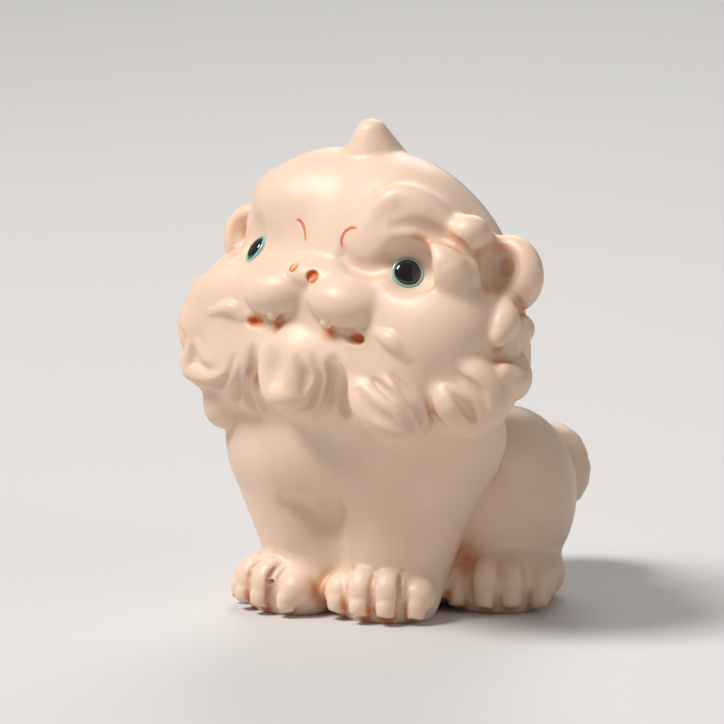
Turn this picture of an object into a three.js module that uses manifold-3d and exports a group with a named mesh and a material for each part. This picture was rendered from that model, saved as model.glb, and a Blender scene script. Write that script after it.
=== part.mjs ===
// A seated foo dog cub, carved in one piece, with two inlaid eyes.
// Millimetres, +Z up. The cub faces -Y, its left side is +X, and it stands on z = 0.

import * as THREE from 'three';
import { MarchingCubes } from 'three/addons/objects/MarchingCubes.js';
import { SimplifyModifier } from 'three/addons/modifiers/SimplifyModifier.js';
import { mergeVertices } from 'three/addons/utils/BufferGeometryUtils.js';
import Module from 'manifold-3d';

const wasm = await Module();
wasm.setup();

// Driving dimensions
const HEAD_CENTRE = [0.9, -7, 30];
const HEAD_TURN = 9;
const HEAD_TILT = 2.5;
const HORN_TOP = 20;
const CHEST_WIDTH = 29.8;
const PAW_WIDTH = 11.6;
const TOES_PER_PAW = 4;
const EYE_SPACING = 18.1;
const EYE_RING_RADIUS = 1.6;
const PUPIL_RADIUS = 1.18;
const EYE_GAP = 0.15;

// Surface quality
const BLOCK_HALF = 27;
const BLOCK_CENTRE = [0, 3, 24.5];
const BLOCK_CELLS = 128;
const BRICK_CELLS = 8;
const BODY_TRIANGLES = 8500;
const MOST_RAW_TRIANGLES = 300000;

// Colours
const IVORY = 0xdcc4b0;
const TURQUOISE = 0x86c0ac;
const BLACK = 0x0a0a0c;

// Distance to a mass: an ellipsoid, turned by degrees about x, y and z
function ball(centre, radii, turn = [0, 0, 0]) {
  const angles = turn.map(THREE.MathUtils.degToRad);
  const basis = new THREE.Matrix4().makeRotationFromEuler(new THREE.Euler(...angles, 'ZYX'));
  const m = basis.transpose().elements;
  const [rx, ry, rz] = radii;
  const distance = (x, y, z) => {
    const dx = x - centre[0];
    const dy = y - centre[1];
    const dz = z - centre[2];
    const u = (m[0] * dx + m[4] * dy + m[8] * dz) / rx;
    const v = (m[1] * dx + m[5] * dy + m[9] * dz) / ry;
    const w = (m[2] * dx + m[6] * dy + m[10] * dz) / rz;
    const near = Math.hypot(u, v, w);
    const slope = Math.hypot(u / rx, v / ry, w / rz);
    return slope === 0 ? -Math.min(...radii) : near * (near - 1) / slope;
  };
  return { centre, reach: Math.max(...radii), distance };
}

// Distance to a strand: a round rod whose thickness changes along a smooth curve
function strand(points, thickness, steps = 6) {
  const curve = new THREE.CatmullRomCurve3(points.map(p => new THREE.Vector3(...p)));
  const knots = curve.getPoints(steps);
  const radii = knots.map((_, i) => {
    const at = i / steps * (thickness.length - 1);
    const k = Math.min(Math.floor(at), thickness.length - 2);
    return THREE.MathUtils.lerp(thickness[k], thickness[k + 1], at - k);
  });
  const rods = radii.slice(1).map((end, i) => rod(knots[i], knots[i + 1], radii[i], end));
  const box = new THREE.Box3().setFromPoints(knots);
  const middle = box.getCenter(new THREE.Vector3());
  const reach = Math.max(...knots.map(k => k.distanceTo(middle))) + Math.max(...thickness);
  const distance = (x, y, z) => {
    let best = Infinity;
    for (const distanceToRod of rods) best = Math.min(best, distanceToRod(x, y, z));
    return best;
  };
  return { centre: middle.toArray(), reach, distance };
}

function rod(start, end, startRadius, endRadius) {
  const along = end.clone().sub(start);
  const lengthSquared = Math.max(along.lengthSq(), 1e-9);
  return (x, y, z) => {
    const dx = x - start.x;
    const dy = y - start.y;
    const dz = z - start.z;
    const reached = (dx * along.x + dy * along.y + dz * along.z) / lengthSquared;
    const t = Math.min(1, Math.max(0, reached));
    const gap = Math.hypot(dx - t * along.x, dy - t * along.y, dz - t * along.z);
    return gap - startRadius - (endRadius - startRadius) * t;
  };
}

// Smooth union and smooth cut, rounded over the given width
function blendJoin(a, b, width) {
  const h = Math.max(width - Math.abs(a - b), 0) / width;
  return Math.min(a, b) - h * h * width / 4;
}

// A figure is a list of steps, each of which joins or carves one mass
function figure() {
  const steps = [];
  const add = (carve, width, masses) => masses.forEach(mass => steps.push({ carve, width, ...mass }));
  return {
    join: (width, ...masses) => add(false, width, masses),
    carve: (width, ...masses) => add(true, width, masses),
    distance(x, y, z) {
      let d = 1e3;
      for (const s of steps) {
        const bound = Math.hypot(x - s.centre[0], y - s.centre[1], z - s.centre[2]) - s.reach;
        if (s.carve) {
          if (bound < s.width - d) d = -blendJoin(-d, s.distance(x, y, z), s.width);
        } else if (bound < d + s.width) {
          d = blendJoin(d, s.distance(x, y, z), s.width);
        }
      }
      return d;
    },
  };
}

const SIDES = [1, -1];
const onSide = (side, p) => [side * p[0], p[1], p[2]];

// Spots on a figure as it stands, sunk by a depth. A path is a list of bearings in degrees, from
// the front towards its left, and heights, about the figure's own upright axis.
const LAY_FROM = 27;
const LAY_STEPS = 60;
function lay(figureSoFar, path, depth) {
  return path.map(([bearing, height]) => {
    const angle = THREE.MathUtils.degToRad(bearing);
    const at = reach => [reach * Math.sin(angle), -reach * Math.cos(angle), height];
    let reach = LAY_FROM;
    for (let i = 0; i < LAY_STEPS; i++) reach -= 0.7 * Math.max(figureSoFar.distance(...at(reach)), 0);
    return at(reach - depth);
  });
}

function layStrands(target, width, depth, ...strands) {
  const laid = strands.map(([path, thickness]) => strand(lay(target, path, depth), thickness, 4 * path.length - 4));
  target.join(width, ...laid);
}

// Head, in its own frame: x to its left, -y forward, z up, turned and tilted on the body
const headFrame = new THREE.Matrix4().compose(
  new THREE.Vector3(...HEAD_CENTRE),
  new THREE.Quaternion().setFromEuler(new THREE.Euler(
    0,
    THREE.MathUtils.degToRad(HEAD_TILT),
    THREE.MathUtils.degToRad(-HEAD_TURN),
    'ZYX',
  )),
  new THREE.Vector3(1, 1, 1),
);

const EYE_HEIGHT = 6.2;
const EYE_FORWARD = -6.3;
const EYE_STANDS_OUT = 0.5;
const EYEBALL = 3.2;
const EYE_FACING = {
  left: new THREE.Vector3(0.64, -0.62, 0.46).normalize(),
  right: new THREE.Vector3(-0.51, -0.66, 0.55).normalize(),
};
const EYES = [['left', 1], ['right', -1]].map(([name, side]) => {
  const facing = EYE_FACING[name];
  const seat = new THREE.Vector3(side * EYE_SPACING / 2, EYE_FORWARD, EYE_HEIGHT);
  const place = seat.addScaledVector(facing, EYE_STANDS_OUT);
  return { name, facing, along: distance => place.clone().addScaledVector(facing, distance).toArray() };
});

function skull(head) {
  head.join(1, ball([0, 0.2, -0.3], [17.6, 10, 17.2]));
  head.join(3, ball([0, 3.4, 0.4], [13.4, 12, 14.4]));
  head.join(3, ball([0, -1.2, -3.6], [17.2, 10.6, 6.4]));
  for (const side of SIDES) {
    head.join(2.5, ball(onSide(side, [4.8, -1.8, 10.8]), [5.8, 5, 5]));
    head.join(3, ball(onSide(side, [9.6, -4, 1.2]), [7, 5.8, 5]));
    head.join(3, ball(onSide(side, [12.4, -4.8, 0.6]), [5, 4.4, 4.6]));
  }
  head.carve(2.5, ball([-15.6, -5.6, 6.8], [3, 3, 3.6]));
}

function horn(head) {
  head.join(0.4, strand([[-0.2, 0.4, HORN_TOP - 5.5], [-0.1, -0.5, HORN_TOP - 1.6]], [3.7, 1.6], 2));
}

function brows(head) {
  const ridge = [[5, -5.4, 9.2], [7.2, -5.4, 10.2], [9.6, -4.3, 10.7], [11.3, -3.2, 10.4]];
  head.join(2.2, strand(ridge, [2.3, 2.8, 2.6, 1.7]));
  layStrands(head, 1.6, 0.8,
    [[[40, 11.2], [47, 12.1], [56, 12.4], [64, 12], [69, 11.5]], [0.5, 1.3, 1.5, 1.2, 0.6]]);
  head.join(1, strand([[13.3, -3.1, 11.4], [14.2, -2.4, 10.8], [14.4, -1.4, 9.4]], [1.3, 1.5, 1.5], 4));
  head.join(1, strand([[12, -5.9, 8], [14, -5.5, 6.5], [15.5, -5.2, 4.9]], [1.4, 2.2, 0.8]));
  head.join(1, strand([[14, -4.6, 7.4], [15.2, -2, 7.6]], [1.5, 1.3], 2));
  head.join(2, strand([[-5, -4.8, 10.4], [-7.4, -4.4, 11.5], [-9.8, -3, 11.6]], [1.9, 2.2, 1.9]));
  head.join(0.8, strand([[-12.2, -1, 10], [-13.4, 0.6, 9.2]], [0.9, 1], 2));
}

function eyeHollows(head) {
  for (const { facing, along } of EYES) {
    const turn = new THREE.Quaternion().setFromUnitVectors(new THREE.Vector3(0, 0, 1), facing);
    const angles = new THREE.Euler().setFromQuaternion(turn, 'ZYX');
    const degrees = [angles.x, angles.y, angles.z].map(THREE.MathUtils.radToDeg);
    head.carve(0.9, ball(along(1.7), [2.9, 2.5, 2.1], degrees));
    head.join(0.3, ball(along(0.05 - EYEBALL), [EYEBALL, EYEBALL, EYEBALL]));
  }
  head.carve(1.5, ball([-6.6, -10.2, 8], [2.4, 2.2, 2]));
}

function muzzle(head) {
  head.join(2, ball([0, -6.2, 3.4], [8.6, 4.4, 3.4]));
  head.join(0.8, ball([0, -8.4, 5.3], [4, 2.9, 1.7]));
  for (const side of SIDES) {
    head.join(0.4, ball(onSide(side, [3.9, -8.6, 3.2]), [4.3, 3.9, 2.8], [0, 8 * side, 0]));
  }
  for (const [bearing, height, radius] of [[6, 5.5, 0.6], [-7.4, 6, 0.5]]) {
    const [nostril] = lay(head, [[bearing, height]], 0.5);
    head.carve(0.2, ball(nostril, [radius, 1.5, radius], [-30, 0, 0]));
  }
  for (const side of SIDES) {
    const corner = lay(head, [[22 * side, 0.5], [29.5 * side, 0.4], [34 * side, -0.2]], 0.2);
    head.carve(0.35, strand(corner, [0.2, 0.6, 0.2], 4));
    const fang = [[3.3, -11.1, 1.4], [3.3, -11.7, 0.3]].map(p => onSide(side, p));
    head.join(0.25, strand(fang, [0.7, 0.25], 1));
  }
}

const EAR_PLACES = [[16.4, 0.6, 6.4], [-15.5, 1.3, 5.8]];

function ears(head) {
  for (const [x, y, z] of EAR_PLACES) {
    const turn = [0, 0, -4 * Math.sign(x)];
    head.join(0.8, ball([x, y, z], [3.8, 2.1, 3.8], turn));
    head.carve(1.2, ball([x - 0.1 * Math.sign(x), y - 2.3, z + 0.7], [1.4, 1.9, 1.4], turn));
  }
}

// The mane: cheeks of hair, a bulb under the chin, and the plain locks round the back
function cheekLocks(head) {
  for (const side of SIDES) {
    head.join(2.2, ball(onSide(side, [9.6, -6.9, -5.2]), [5, 4.5, 4.6]));
    head.join(1.8, ball(onSide(side, [15, -4, -4.6]), [4, 3.8, 4.4]));
  }
  head.join(1.6, ball([-15.2, -5.8, -2.2], [3.4, 3.6, 3.4]));
  head.join(0.8, ball([-14.2, -6.4, -5.9], [2.9, 3, 2.8]));
  head.join(1, strand([[-11, -5, -6], [-13, -5.6, -9.6], [-13.4, -5.4, -10.8]], [3, 2.6, 1.4]));
  layStrands(head, 0.35, 0.7,
    [[[32, -5], [37.5, -6.4], [46, -7.4], [55, -8.6]], [0.3, 1.2, 1.3, 0.5]],
    [[[44, -4], [50, -5.4], [54, -7], [56.5, -8.6]], [0.3, 1.1, 1.1, 0.5]],
    [[[60, -4.5], [65, -5.6], [71, -7.4]], [0.3, 1.1, 0.6]],
    [[[70, -1.7], [72.5, -3.2], [74.5, -5.4], [74, -7.6]], [0.3, 1.3, 1.3, 0.6]],
    [[[-60, -3.6], [-60.5, -6.2], [-52, -6.6], [-43, -6], [-39.5, -4.2]], [0.8, 1.2, 1.2, 1, 0.3]],
    [[[39, 0.9], [46, 0.3], [51.5, -1.2]], [0.5, 1.1, 0.4]]);
}

function beard(head) {
  head.join(1, ball([-0.7, -9, -4.4], [5.1, 3.7, 5.2]));
  head.carve(1.2, ball([-2.4, -13.2, -3.9], [1.5, 1.5, 2.3], [0, -12, 0]));
  layStrands(head, 0.5, 0.5,
    [[[-24, -2.6], [-20, -5], [-13.5, -6.6], [-3, -6.3], [4, -6.9]], [0.5, 1, 1.15, 1, 0.3]]);
}

function curls(head) {
  for (const side of SIDES) {
    const s = p => onSide(side, p);
    head.join(0.8, strand([[16.4, -2, 3.9], [17, -2.6, 1.8]].map(s), [1, 1.6], 2));
    head.join(0.6, ball(s([17.8, -0.7, 1.4]), [1.6, 1.8, 1.9]));
    head.join(0.8, strand([[16.4, -3.6, -2], [18, -2, -2.6], [19.3, -1.1, -1.6]].map(s), [1.8, 1.8, 0.8]));
  }
}

// Bearings of the locks down the back of the head, from its left round to its right
const BACK_LOCKS = [116, 141, 167, 193, 219, 244];

function backLocks(head) {
  for (const bearing of BACK_LOCKS) {
    layStrands(head, 0.5, 1.8, [[[bearing, 3], [bearing, -3.6], [bearing, -8.4]], [1.3, 2.6, 1.5]]);
  }
}

const head = figure();
skull(head);
horn(head);
brows(head);
eyeHollows(head);
muzzle(head);
ears(head);
cheekLocks(head);
beard(head);
curls(head);
backLocks(head);

// Body, in the part's own frame
function torso(body) {
  body.join(1, ball([-0.4, -5, 18.4], [CHEST_WIDTH / 2, 9.4, 9.4]));
  body.join(3, ball([0, 5, 12.3], [10.5, 13.5, 9.4]));
  body.join(2, ball([0, 3, 4], [8, 11, 6]));
  for (const side of SIDES) {
    body.join(0.5, ball(onSide(side, [8.4, 8.2, 10]), [7, 9.6, 9.4]));
    body.join(1, ball(onSide(side, [11.4, 5, 2.6]), [4.4, 7.6, 3.4]));
  }
}

function frontLegs(body) {
  body.join(2, strand([[5.4, -5.2, 17], [2.8, -4.9, 4]], [7, 5.2], 2));
  body.join(2, strand([[-7.2, -5.2, 16], [-6.1, -6, 4]], [7.8, 4], 2));
  body.join(1.5, ball([-1.4, -6.8, 7.6], [4.6, 3.5, 7]));
}

// Each paw's place on the ground and the way it points
const PAWS = [[3, -7.4, 10], [-7.8, -8.1, -27], [11, 2, 25], [-9.4, 2.6, -14]];

// A paw is a low mound and a row of toes, each with a nail at the ground
function paw(body, [x, y, heading]) {
  const turn = THREE.MathUtils.degToRad(heading);
  const place = (across, forward, up) => [
    x + across * Math.cos(turn) + forward * Math.sin(turn),
    y + across * Math.sin(turn) - forward * Math.cos(turn),
    up,
  ];
  body.join(1, ball(place(0, -0.2, 2.2), [0.95 * PAW_WIDTH / 2, 4.2, 4.2], [0, 0, heading]));
  const pitch = 0.94 * PAW_WIDTH / TOES_PER_PAW;
  for (let i = 0; i < TOES_PER_PAW; i++) {
    const across = (i - (TOES_PER_PAW - 1) / 2) * pitch;
    const reach = 5.4 - 0.09 * across * across;
    const slope = 0.32 * Math.abs(across);
    const heel = place(across * 0.85, 0.8, 4.6 - slope);
    const knuckle = place(across * 0.97, reach - 2.3, 4.1 - slope);
    body.join(0.4, strand([heel, knuckle, place(across, reach - 1.75, 2.5)], [1.3, 1.8, 1.5], 6));
    body.join(0.12, strand([place(across, reach - 1.05, 1.9), place(across, reach - 0.85, 0.7)], [1.1, 0.85], 1));
  }
}

function tail(body) {
  const sweep = [[0.5, 18.2, 6.5], [4, 19.6, 11.5], [8.6, 18.6, 13.1], [11.2, 17.4, 11.6], [12.2, 16.8, 9.4]];
  body.join(0.8, strand(sweep, [2, 2.8, 3.2, 2.6, 1.1], 12));
}

const body = figure();
torso(body);
frontLegs(body);
PAWS.forEach(spot => paw(body, spot));
tail(body);

// The whole carving: head and body flow into each other at the neck
const NECK_BLEND = 0.8;
const toHead = headFrame.clone().invert().elements;

function carving(x, y, z) {
  const e = toHead;
  const hx = e[0] * x + e[4] * y + e[8] * z + e[12];
  const hy = e[1] * x + e[5] * y + e[9] * z + e[13];
  const hz = e[2] * x + e[6] * y + e[10] * z + e[14];
  return blendJoin(head.distance(hx, hy, hz), body.distance(x, y, z), NECK_BLEND);
}

// Samples the field on a cubic grid. A brick of cells that is far from the surface takes the
// value at its centre.
function sample(field, samples) {
  const cell = 2 * BLOCK_HALF / BLOCK_CELLS;
  const position = (n, axis) => n * cell - BLOCK_HALF + BLOCK_CENTRE[axis];
  const farAway = BRICK_CELLS * cell * 1.5;
  const bricks = BLOCK_CELLS / BRICK_CELLS;
  for (let brick = 0; brick < bricks ** 3; brick++) {
    const corner = [brick % bricks, Math.floor(brick / bricks) % bricks, Math.floor(brick / bricks ** 2)]
      .map(n => n * BRICK_CELLS);
    const middle = corner.map((n, axis) => position(n + BRICK_CELLS / 2, axis));
    const atMiddle = field(...middle);
    const flat = Math.abs(atMiddle) > farAway;
    for (let n = 0; n < BRICK_CELLS ** 3; n++) {
      const i = corner[0] + n % BRICK_CELLS;
      const j = corner[1] + Math.floor(n / BRICK_CELLS) % BRICK_CELLS;
      const k = corner[2] + Math.floor(n / BRICK_CELLS ** 2);
      const value = flat ? atMiddle : field(position(i, 0), position(j, 1), position(k, 2));
      samples[(k * BLOCK_CELLS + j) * BLOCK_CELLS + i] = -value;
    }
  }
}

async function skin(field, triangles) {
  const cubes = new MarchingCubes(BLOCK_CELLS, new THREE.Material(), false, false, MOST_RAW_TRIANGLES);
  cubes.isolation = 0;
  sample(field, cubes.field);
  cubes.update();
  const raw = new THREE.BufferGeometry();
  const corners = cubes.positionArray.slice(0, cubes.count * 3);
  raw.setAttribute('position', new THREE.BufferAttribute(corners, 3));
  const welded = mergeVertices(raw, 1e-7);
  welded.scale(BLOCK_HALF, BLOCK_HALF, BLOCK_HALF).translate(...BLOCK_CENTRE);
  const vertices = welded.getAttribute('position').count;
  return new SimplifyModifier().modify(welded, vertices - triangles / 2);
}

// Solids: a closed mesh becomes a solid for joining and cutting, and comes back as a mesh
function solid(geometry) {
  geometry.deleteAttribute('normal');
  geometry.deleteAttribute('uv');
  const merged = mergeVertices(geometry, 1e-4);
  return new wasm.Manifold(new wasm.Mesh({
    numProp: 3,
    vertProperties: new Float32Array(merged.getAttribute('position').array),
    triVerts: new Uint32Array(merged.getIndex().array),
  }));
}

function surface(manifold) {
  const { vertProperties, triVerts } = manifold.getMesh();
  const geometry = new THREE.BufferGeometry();
  geometry.setAttribute('position', new THREE.BufferAttribute(vertProperties, 3));
  geometry.setIndex(new THREE.BufferAttribute(triVerts, 1));
  geometry.computeVertexNormals();
  return geometry;
}

// Eyes: a turquoise cup let into the face, and a black domed pupil on it
const EYE_SIDES = 18;
const CUP_DEPTH = 0.9;
const CUP_RIM = 0.1;
const toPoints = pairs => pairs.map(([r, h]) => new THREE.Vector2(r, h));

function cupGeometry() {
  const inner = PUPIL_RADIUS + EYE_GAP;
  const rim = EYE_RING_RADIUS;
  return new THREE.LatheGeometry(toPoints([
    [0, -CUP_DEPTH], [rim, -CUP_DEPTH], [rim, 0], [(rim + inner) / 2, CUP_RIM], [inner, 0], [inner, -0.15], [0, -0.15],
  ]), EYE_SIDES);
}

function pupilGeometry() {
  return new THREE.LatheGeometry(toPoints([
    [0, 0], [PUPIL_RADIUS, 0], [PUPIL_RADIUS, 0.1], [PUPIL_RADIUS * 0.85, 0.28], [PUPIL_RADIUS * 0.5, 0.42], [0, 0.48],
  ]), EYE_SIDES);
}

function material(color, roughness) {
  return new THREE.MeshStandardMaterial({ color, roughness, metalness: 0 });
}

function eyeFrame({ facing, along }) {
  const frame = new THREE.Group();
  frame.position.set(...along(0));
  frame.quaternion.setFromUnitVectors(new THREE.Vector3(0, 1, 0), facing);
  return frame;
}

const cub = new THREE.Group();
const headGroup = new THREE.Group();
headFrame.decompose(headGroup.position, headGroup.quaternion, headGroup.scale);
cub.add(headGroup);

let carved = solid(await skin(carving, BODY_TRIANGLES));
const ground = new THREE.BoxGeometry(100, 100, 20).translate(0, 0, -10);
carved = carved.subtract(solid(ground));

for (const eye of EYES) {
  const frame = eyeFrame(eye);
  headGroup.add(frame);
  frame.updateWorldMatrix(true, false);
  const bore = EYE_RING_RADIUS + EYE_GAP;
  const depth = CUP_DEPTH + EYE_GAP;
  const socket = new THREE.CylinderGeometry(bore, bore, depth + 3, EYE_SIDES);
  socket.translate(0, (3 - depth) / 2, 0).applyMatrix4(frame.matrixWorld);
  carved = carved.subtract(solid(socket));
  const ring = new THREE.Mesh(cupGeometry(), material(TURQUOISE, 0.25));
  ring.name = `${eye.name}_eye_ring`;
  const pupil = new THREE.Mesh(pupilGeometry(), material(BLACK, 0.1));
  pupil.name = `${eye.name}_eye_pupil`;
  frame.add(ring, pupil);
}

const lion = new THREE.Mesh(surface(carved), material(IVORY, 0.45));
lion.name = 'lion_body';
cub.add(lion);

export default cub;
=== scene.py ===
"""A seated foo dog cub of pale resin with inlaid eyes, laid out as an add-on and run as a script."""

import math

import bmesh
import bpy
import numpy as np
from bpy.props import FloatProperty, FloatVectorProperty, IntProperty, PointerProperty
from bpy.types import Operator, Panel, PropertyGroup
from mathutils import Euler, Matrix, Vector


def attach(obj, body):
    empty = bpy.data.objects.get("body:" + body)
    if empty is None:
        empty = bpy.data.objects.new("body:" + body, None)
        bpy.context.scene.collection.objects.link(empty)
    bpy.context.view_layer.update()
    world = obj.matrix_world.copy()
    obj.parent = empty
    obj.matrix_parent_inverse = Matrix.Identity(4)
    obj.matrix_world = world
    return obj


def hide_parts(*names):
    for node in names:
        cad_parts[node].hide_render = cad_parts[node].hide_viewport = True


bl_info = {
    "name": "Foo dog cub",
    "version": (1, 0, 0),
    "blender": (4, 5, 0),
    "location": "View3D > Sidebar > Cub",
    "description": "Carves a small seated foo dog cub and sets its eyes",
    "category": "Add Mesh",
}

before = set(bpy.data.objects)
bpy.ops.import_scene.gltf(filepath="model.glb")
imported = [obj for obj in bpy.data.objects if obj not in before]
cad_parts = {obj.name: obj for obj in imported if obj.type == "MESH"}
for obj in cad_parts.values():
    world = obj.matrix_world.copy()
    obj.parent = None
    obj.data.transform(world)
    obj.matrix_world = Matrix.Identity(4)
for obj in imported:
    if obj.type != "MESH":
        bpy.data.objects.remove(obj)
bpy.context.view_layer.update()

MM = 0.001
SIDES = (1, -1)


# Masses: each gives a centre, a reach and the distance from points to its surface, in millimetres

FAR = 1000.0
# How far into a cut its painted shade fades in, in millimetres.
SHADE_TINT_SOFTNESS = 0.08


def lengths(vectors):
    return np.sqrt(np.einsum("ij,ij->i", vectors, vectors))


class Ball:
    """An ellipsoid, turned by degrees about x, y and z."""

    def __init__(self, centre, radii, turn=(0, 0, 0)):
        self.centre = np.array(centre, float)
        self.radii = np.array(radii, float)
        self.matrix = np.array(Euler([math.radians(a) for a in turn], "XYZ").to_matrix())
        self.reach = max(radii)

    def distance(self, points):
        local = (points - self.centre) @ self.matrix / self.radii
        near = lengths(local)
        slope = np.maximum(lengths(local / self.radii), 1e-9)
        return near * (near - 1) / slope

    def blobs(self):
        scale = Matrix.Diagonal(Vector(self.radii)).to_4x4()
        turn = Matrix([list(row) for row in self.matrix]).to_4x4()
        return [Matrix.Translation(self.centre) @ turn @ scale]


class Strand:
    """A round rod whose thickness changes along a smooth curve through its points."""

    def __init__(self, points, thickness, steps=8):
        curve = smooth_curve(np.column_stack([points, thickness]), steps)
        self.knots = curve[:, :3]
        self.thickness = curve[:, 3]
        self.centre = (self.knots.min(axis=0) + self.knots.max(axis=0)) / 2
        spread = lengths(self.knots - self.centre).max()
        self.reach = spread + self.thickness.max()

    def distance(self, points):
        best = np.full(len(points), np.inf)
        for start, end, r0, r1 in zip(self.knots, self.knots[1:], self.thickness, self.thickness[1:]):
            along = end - start
            length = np.linalg.norm(along)
            lean = np.clip((r0 - r1) / length, -0.95, 0.95)
            offset = points - start
            travel = offset @ along / length
            gap = np.sqrt(np.maximum(np.einsum("ij,ij->i", offset, offset) - travel ** 2, 0))
            t = np.clip((travel - gap * lean / math.sqrt(1 - lean * lean)) / length, 0, 1)
            reach = np.sqrt(gap ** 2 + (travel - t * length) ** 2)
            best = np.minimum(best, reach - r0 - (r1 - r0) * t)
        return best

    def blobs(self):
        every = list(zip(self.knots, self.thickness))[::2]
        return [Matrix.Translation(k) @ Matrix.Scale(r, 4) for k, r in every]


def smooth_curve(points, steps):
    """Points spaced evenly in parameter on the centripetal curve through the given points."""
    ends = np.vstack([2 * points[0] - points[1], points, 2 * points[-1] - points[-2]])
    where = np.linspace(0, len(points) - 1, steps + 1)
    result = []
    for at in where:
        i = min(int(at), len(points) - 2)
        p0, p1, p2, p3 = ends[i:i + 4]
        t = at - i
        result.append(0.5 * (2 * p1 + (p2 - p0) * t + (2 * p0 - 5 * p1 + 4 * p2 - p3) * t ** 2
                             + (3 * p1 - p0 - 3 * p2 + p3) * t ** 3))
    return np.array(result)


def blend(a, b, width):
    """The smaller of two distances, rounded where they meet."""
    h = np.maximum(width - np.abs(a - b), 0) / width
    return np.minimum(a, b) - h * h * width / 4


class Carving:
    """Masses joined and carved in order, each rounded over its own width."""

    def __init__(self):
        self.steps = []

    def join(self, width, *masses):
        self.steps += [(False, width, mass, 0) for mass in masses]

    # The last share is how much painted shade, up to the painted glow, the inside of the cut gets.
    def carve(self, width, *masses, shade_tint=0):
        self.steps += [(True, width, mass, shade_tint) for mass in masses]

    def distance(self, points):
        """The distance to the carved surface; masses out of reach of a point are passed over."""
        d = np.full(len(points), FAR)
        for cut, width, mass, _ in self.steps:
            bound = lengths(points - mass.centre) - mass.reach
            near = np.flatnonzero(bound < (width - d if cut else d + width))
            if not near.size:
                continue
            shape = mass.distance(points[near])
            d[near] = -blend(-d[near], shape, width) if cut else blend(d[near], shape, width)
        return d

    def blobs(self):
        return [blob for cut, _, mass, _ in self.steps if not cut for blob in mass.blobs()]

    def hollows(self):
        balls = [mass for cut, _, mass, _ in self.steps if cut and isinstance(mass, Ball)]
        return [blob for ball in balls for blob in ball.blobs()]

    def painted_cut_shade(self, points):
        """Painted shade in the cuts: how deeply each point lies in a cut given painted shade, from 0 to
        that cut's own share.
        """
        shaded = np.zeros(len(points))
        for mass, shade_tint in [(mass, shade_tint) for _, _, mass, shade_tint in self.steps if shade_tint]:
            near = np.flatnonzero(lengths(points - mass.centre) < mass.reach + SHADE_TINT_SOFTNESS)
            if near.size:
                share = np.clip(1 - mass.distance(points[near]) / SHADE_TINT_SOFTNESS, 0, 1)
                shaded[near] = np.maximum(shaded[near], shade_tint * share)
        return shaded


def on_side(side, point):
    return (side * point[0], point[1], point[2])


def mirrored(side, points):
    return [on_side(side, p) for p in points]


# Head masses, in the head's own frame: x to its left, -y forward, z up

EYE_FACING = {1: Vector((0.64, -0.62, 0.46)).normalized(), -1: Vector((-0.51, -0.66, 0.55)).normalized()}
EYEBALL = 3.2
EYEBALL_SUNK = EYEBALL - 0.05
EYE_HEIGHT = 6.2
EYE_FORWARD = -6.3
EYE_STANDS_OUT = 0.5
NOSTRILS = ((6, 5.5, 0.6), (-7.4, 6, 0.46))
EAR_PLACE = {1: (16.4, 0.6, 6.4), -1: (-15.5, 1.3, 5.8)}
CURL_DEPTH = {1: -0.2, -1: 1}
BACK_BEARINGS = (120, 143, 168, 192, 217, 240)


def eye_place(sizes, side):
    middle = on_side(side, (sizes.eye_spacing / 2, EYE_FORWARD, EYE_HEIGHT))
    return Vector(middle) + EYE_STANDS_OUT * EYE_FACING[side]


def faced(side, path):
    """A (bearing, height) path on one side of the face."""
    return [(side * bearing, height) for bearing, height in path]


LAY_FROM = 27
LAY_ROUNDS = 60
LAY_STRIDE = 0.7
STEPS_BETWEEN_SPOTS = 5


def lay(carving, path, depth):
    """Spots on the carving as it stands, from (bearing, height) pairs, sunk by a depth.

    A bearing is in degrees from straight ahead, positive to the left. Each spot starts well
    outside and comes in towards the upright axis until it meets the surface.
    """
    bearings = np.radians([bearing for bearing, _ in path])
    outward = np.stack([np.sin(bearings), -np.cos(bearings), np.zeros(len(path))], axis=1)
    spots = LAY_FROM * outward
    spots[:, 2] = [height for _, height in path]
    for _ in range(LAY_ROUNDS):
        spots -= LAY_STRIDE * np.maximum(carving.distance(spots), 0)[:, None] * outward
    return spots - depth * outward


def follow(carving, depth, strands):
    """Strands laid along the surface, each from its path and its thickness at every spot."""
    return [Strand(lay(carving, path, depth), thickness, STEPS_BETWEEN_SPOTS * (len(path) - 1))
            for path, thickness in strands]


def lay_strands(carving, width, depth, *strands):
    """Raises strands that follow the surface, each given by its path and thickness."""
    carving.join(width, *follow(carving, depth, strands))


def cut_strands(carving, width, depth, *strands, shade_tint=0.4):
    """Cuts strands that follow the surface, and gives the cuts painted shade."""
    carving.carve(width, *follow(carving, depth, strands), shade_tint=shade_tint)


def carve_skull(head, sizes):
    broad_face = Ball((0, 0.2, -0.3), (17.6, 10, 17.2))
    back_of_head = Ball((0, 3.4, 0.4), (13.4, 12, 14.4))
    jowls = Ball((0, -1.2, -3.6), (17.2, 10.6, 6.4))
    head.join(1, broad_face)
    head.join(3, back_of_head, jowls)
    for side in SIDES:
        forehead = Ball(on_side(side, (4.8, -1.8, 10.8)), (5.8, 5, 5))
        cheek = Ball(on_side(side, (9.6, -4, 1.2)), (7, 5.8, 5))
        outer_cheek = Ball(on_side(side, (12.4, -4.8, 0.6)), (5, 4.4, 4.6))
        head.join(2.5, forehead)
        head.join(3, cheek, outer_cheek)
    right_temple = Ball((-15.6, -5.6, 6.8), (3, 3, 3.6))
    head.carve(2.5, right_temple)
    horn = [(-0.2, 0.4, sizes.horn_top - 5.5), (-0.1, -0.5, sizes.horn_top - 1.6)]
    head.join(0.4, Strand(horn, [3.7, 1.6], 1))


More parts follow.
